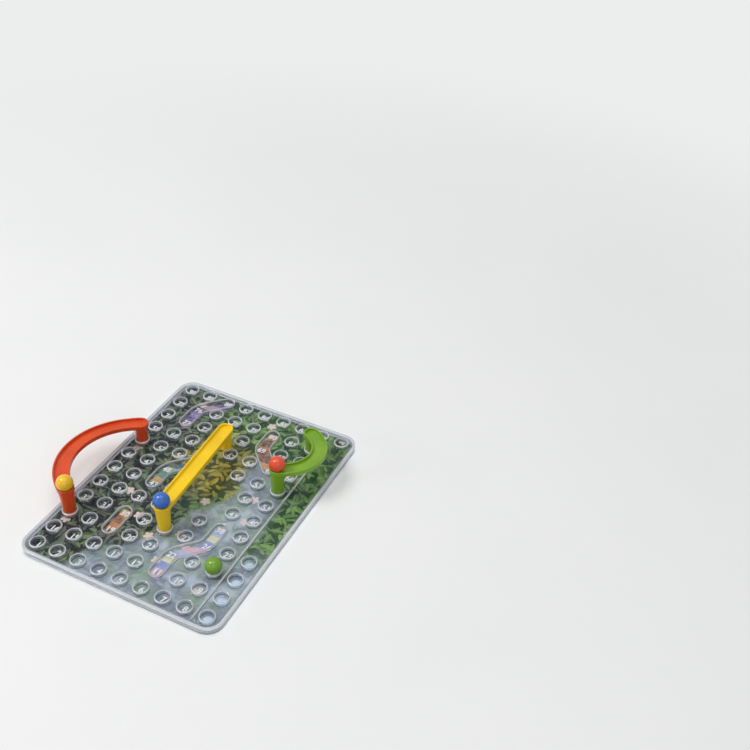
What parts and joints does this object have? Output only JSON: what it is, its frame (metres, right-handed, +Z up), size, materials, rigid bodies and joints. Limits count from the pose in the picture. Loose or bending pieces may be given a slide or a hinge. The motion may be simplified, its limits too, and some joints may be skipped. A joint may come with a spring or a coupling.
{
  "type": "snakes and ladders marble board",
  "caption": "Marble board game: clear ring cups and curbed snake channels over a printed card in a rim frame, with curved and straight ladder chutes on posts and glossy marbles.",
  "frame": {"origin": "centre of the board's underside", "axes": "+X along the front edge towards the start lane, +Y towards the back, +Z up"},
  "size_m": [0.2092, 0.244, 0.0447],
  "materials": {
    "base": "satin",
    "card": "printed card",
    "clear_sheet": "clear, polished",
    "frosted_rim": "clear, milky",
    "clear_cups": "clear, polished",
    "clear_curbs": "clear, polished",
    "red": "gloss",
    "yellow": "gloss",
    "green": "gloss",
    "yellow_marble": "gloss",
    "blue_marble": "gloss",
    "red_marble": "gloss",
    "green_marble": "gloss"
  },
  "bodies": {
    "board": {"base_tray": "base", "printed_card": "card", "clear_plate": "clear_sheet", "board_rim": "frosted_rim", "ball_cups": "clear_cups", "snake_channels": "clear_curbs"},
    "red_slide": {"red_chute": "red", "red_tall_post": "red", "red_short_post": "red"},
    "yellow_slide": {"yellow_chute": "yellow", "yellow_tall_post": "yellow", "yellow_short_post": "yellow"},
    "green_slide": {"green_chute": "green", "green_tall_post": "green", "green_short_post": "green"},
    "yellow_marble": {"yellow_ball": "yellow_marble"},
    "blue_marble": {"blue_ball": "blue_marble"},
    "red_marble": {"red_ball": "red_marble"},
    "green_marble": {"green_ball": "green_marble"}
  },
  "joints": [
    {"name": "red_slide_lift", "type": "slide", "parent": "board", "child": "red_slide", "axis": [0, 0, 1], "range_m": [0, 0.04]},
    {"name": "yellow_slide_lift", "type": "slide", "parent": "board", "child": "yellow_slide", "axis": [0, 0, 1], "range_m": [0, 0.04]},
    {"name": "green_slide_lift", "type": "slide", "parent": "board", "child": "green_slide", "axis": [0, 0, 1], "range_m": [0, 0.04]},
    {"name": "yellow_marble_lift", "type": "slide", "parent": "red_slide", "child": "yellow_marble", "axis": [0, 0, 1], "range_m": [0, 0.03]},
    {"name": "blue_marble_lift", "type": "slide", "parent": "yellow_slide", "child": "blue_marble", "axis": [0, 0, 1], "range_m": [0, 0.03]},
    {"name": "red_marble_lift", "type": "slide", "parent": "green_slide", "child": "red_marble", "axis": [0, 0, 1], "range_m": [0, 0.03]},
    {"name": "green_marble_lift", "type": "slide", "parent": "board", "child": "green_marble", "axis": [0, 0, 1], "range_m": [0, 0.03]}
  ]
}
